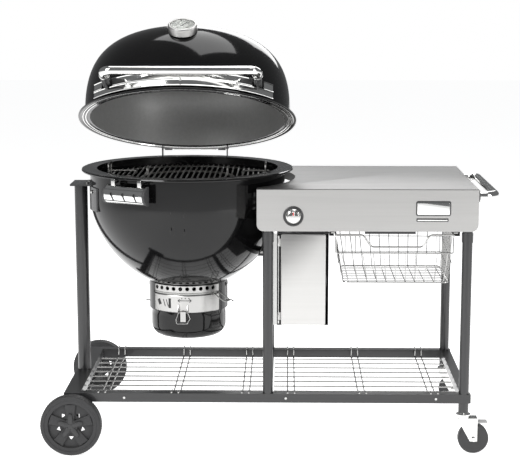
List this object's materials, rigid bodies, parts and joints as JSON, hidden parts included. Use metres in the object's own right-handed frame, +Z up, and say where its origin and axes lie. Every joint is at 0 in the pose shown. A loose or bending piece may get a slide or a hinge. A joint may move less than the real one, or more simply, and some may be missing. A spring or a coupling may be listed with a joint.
{
  "type": "kettle charcoal grill",
  "caption": "Kettle charcoal grill on a wheeled cart, with a hinged lid, ash pot, side table, wire basket, cylinder box and wire racks.",
  "frame": {"origin": "centre of the whole grill's footprint box on the floor", "axes": "+X along the cart from the kettle to the table's handle, +Y to the back, +Z up"},
  "size_m": [1.523, 0.8182, 1.4386],
  "materials": {
    "frame_black": "gloss black powder coat",
    "enamel_black": "gloss porcelain enamel",
    "liner_grey": "satin grey enamel",
    "brushed_steel": "brushed",
    "polished_steel": "polished",
    "wire_plated": "plated wire",
    "grate_steel": "drawn steel rod",
    "black_plastic": "moulded",
    "dial_white": "printed dial",
    "clear_glass": "clear",
    "caster_grey": "moulded grey",
    "zinc": "zinc plated",
    "aluminised": "aluminised steel"
  },
  "bodies": {
    "cart": {"axle": "frame_black", "base_rails": "frame_black", "basket_rails": "frame_black", "bowl_hinge_bracket": "frame_black", "bowl_liner": "enamel_black", "bowl_rim": "enamel_black", "bowl_shell": "enamel_black", "box_hinge": "zinc", "charcoal_grate": "grate_steel", "cylinder_box": "frame_black", "frame_bolts": "zinc", "front_panel": "brushed_steel", "hinge_pin": "zinc", "hook_handle_ends": "black_plastic", "hook_handle_plate": "polished_steel", "igniter_line": "brushed_steel", "kettle_brackets": "frame_black", "kettle_post": "frame_black", "knob_bezel": "black_plastic", "left_rack": "wire_plated", "legs": "frame_black", "neck_bands": "brushed_steel", "right_rack": "wire_plated", "side_handle": "polished_steel", "table_supports": "frame_black", "table_top": "brushed_steel", "vent_collar": "enamel_black"},
    "lid_vent_cap": {"lid_vent_cap": "enamel_black"},
    "lid_vent_damper": {"lid_vent_damper": "brushed_steel"},
    "thermometer_needle": {"thermometer_needle": "black_plastic"},
    "cooking_grate": {"cooking_grate": "grate_steel"},
    "left_grate_flap": {"left_grate_flap": "grate_steel"},
    "right_grate_flap": {"right_grate_flap": "grate_steel"},
    "grate_insert": {"grate_insert": "grate_steel"},
    "ash_sweeper": {"ash_sweeper": "aluminised"},
    "ash_pot": {"ash_pot": "enamel_black"},
    "pot_latch": {"pot_latch": "wire_plated"},
    "basket": {"basket": "wire_plated", "basket_hanger": "wire_plated"},
    "box_door": {"box_door": "brushed_steel"},
    "valve_stem": {"valve_stem": "zinc"},
    "gas_knob": {"gas_knob": "polished_steel"},
    "front_wheel": {"front_wheel": "black_plastic"},
    "back_wheel": {"back_wheel": "black_plastic"},
    "front_caster": {"front_caster_fork": "polished_steel"},
    "front_caster_wheel": {"front_caster_wheel": "black_plastic"},
    "front_caster_brake": {"front_caster_brake": "caster_grey"},
    "back_caster": {"back_caster_fork": "polished_steel"},
    "back_caster_wheel": {"back_caster_wheel": "black_plastic"},
    "back_caster_brake": {"back_caster_brake": "caster_grey"},
    "lid": {"lid_shell": "enamel_black", "lid_liner": "liner_grey", "lid_rim": "enamel_black", "lid_handle": "polished_steel", "lid_heat_shield": "polished_steel", "thermometer_case": "brushed_steel", "thermometer_dial": "dial_white", "thermometer_glass": "clear_glass", "lid_vent_seat": "brushed_steel", "lid_hinge_plate": "frame_black"}
  },
  "joints": [
    {"name": "lid_hinge", "type": "hinge", "parent": "cart", "child": "lid", "pos_m": [-0.287, 0.3991, 0.945], "axis": [-1, 0, 0], "range_deg": [-21.24, 30]},
    {"name": "lid_vent_cap_hinge", "type": "hinge", "parent": "lid", "child": "lid_vent_cap", "pos_m": [-0.287, 0.32071, 1.25551], "axis": [-1, 0, 0], "range_deg": [0, 75]},
    {"name": "lid_vent_damper_turn", "type": "hinge", "parent": "lid", "child": "lid_vent_damper", "pos_m": [-0.287, 0.27265, 1.27733], "axis": [0, 0.5627, 0.8267], "range_deg": [0, 45]},
    {"name": "thermometer_needle_turn", "type": "hinge", "parent": "lid", "child": "thermometer_needle", "pos_m": [-0.287, -0.20591, 1.4159], "axis": [0, -0.4029, 0.9152], "range_deg": [-90, 150]},
    {"name": "cooking_grate_lift", "type": "slide", "parent": "cart", "child": "cooking_grate", "axis": [0, 0, 1], "range_m": [0, 0.015]},
    {"name": "left_flap_hinge", "type": "hinge", "parent": "cooking_grate", "child": "left_grate_flap", "pos_m": [-0.477, -0.0264, 0.897], "axis": [0, 1, 0], "range_deg": [0, 100]},
    {"name": "right_flap_hinge", "type": "hinge", "parent": "cooking_grate", "child": "right_grate_flap", "pos_m": [-0.097, -0.0264, 0.897], "axis": [0, -1, 0], "range_deg": [0, 100]},
    {"name": "grate_insert_lift", "type": "slide", "parent": "cooking_grate", "child": "grate_insert", "axis": [0, 0, 1], "range_m": [0, 0.06]},
    {"name": "ash_sweeper_turn", "type": "hinge", "parent": "cart", "child": "ash_sweeper", "pos_m": [-0.287, -0.0264, 0.5025], "axis": [0, 0, 1], "range_deg": [-88, 0]},
    {"name": "ash_pot_drop", "type": "slide", "parent": "cart", "child": "ash_pot", "axis": [0, 0, -1], "range_m": [0, 0.09]},
    {"name": "pot_latch_swing", "type": "hinge", "parent": "cart", "child": "pot_latch", "pos_m": [-0.297, -0.1724, 0.441], "axis": [-1, 0, 0], "range_deg": [0, 80]},
    {"name": "basket_slide", "type": "slide", "parent": "cart", "child": "basket", "axis": [0, -1, 0], "range_m": [0, 0.24]},
    {"name": "box_door_hinge", "type": "hinge", "parent": "cart", "child": "box_door", "pos_m": [0.0305, -0.3239, 0.59], "axis": [0, 0, -1], "range_deg": [0, 100]},
    {"name": "gas_knob_push", "type": "slide", "parent": "cart", "child": "valve_stem", "axis": [0, 1, 0], "range_m": [0, 0.003], "stiffness_N_per_m": 600},
    {"name": "gas_knob_turn", "type": "hinge", "parent": "valve_stem", "child": "gas_knob", "pos_m": [0.0785, -0.3449, 0.804], "axis": [0, -1, 0], "range_deg": [0, 90]},
    {"name": "front_wheel_spin", "type": "hinge", "parent": "cart", "child": "front_wheel", "pos_m": [-0.6595, -0.3659, 0.102], "axis": [0, 1, 0], "continuous": true},
    {"name": "back_wheel_spin", "type": "hinge", "parent": "cart", "child": "back_wheel", "pos_m": [-0.6595, 0.3781, 0.102], "axis": [0, 1, 0], "continuous": true},
    {"name": "front_caster_swivel", "type": "hinge", "parent": "cart", "child": "front_caster", "pos_m": [0.6495, -0.3249, 0.128], "axis": [0, 0, 1], "continuous": true},
    {"name": "front_caster_wheel_spin", "type": "hinge", "parent": "front_caster", "child": "front_caster_wheel", "pos_m": [0.6835, -0.3249, 0.051], "axis": [0, 1, 0], "continuous": true},
    {"name": "front_caster_brake_press", "type": "hinge", "parent": "front_caster", "child": "front_caster_brake", "pos_m": [0.6875, -0.3249, 0.11], "axis": [0, 1, 0], "range_deg": [0, 6]},
    {"name": "back_caster_swivel", "type": "hinge", "parent": "cart", "child": "back_caster", "pos_m": [0.6495, 0.2721, 0.128], "axis": [0, 0, 1], "continuous": true},
    {"name": "back_caster_wheel_spin", "type": "hinge", "parent": "back_caster", "child": "back_caster_wheel", "pos_m": [0.6835, 0.2721, 0.051], "axis": [0, 1, 0], "continuous": true},
    {"name": "back_caster_brake_press", "type": "hinge", "parent": "back_caster", "child": "back_caster_brake", "pos_m": [0.6875, 0.2721, 0.11], "axis": [0, 1, 0], "range_deg": [0, 6]}
  ]
}
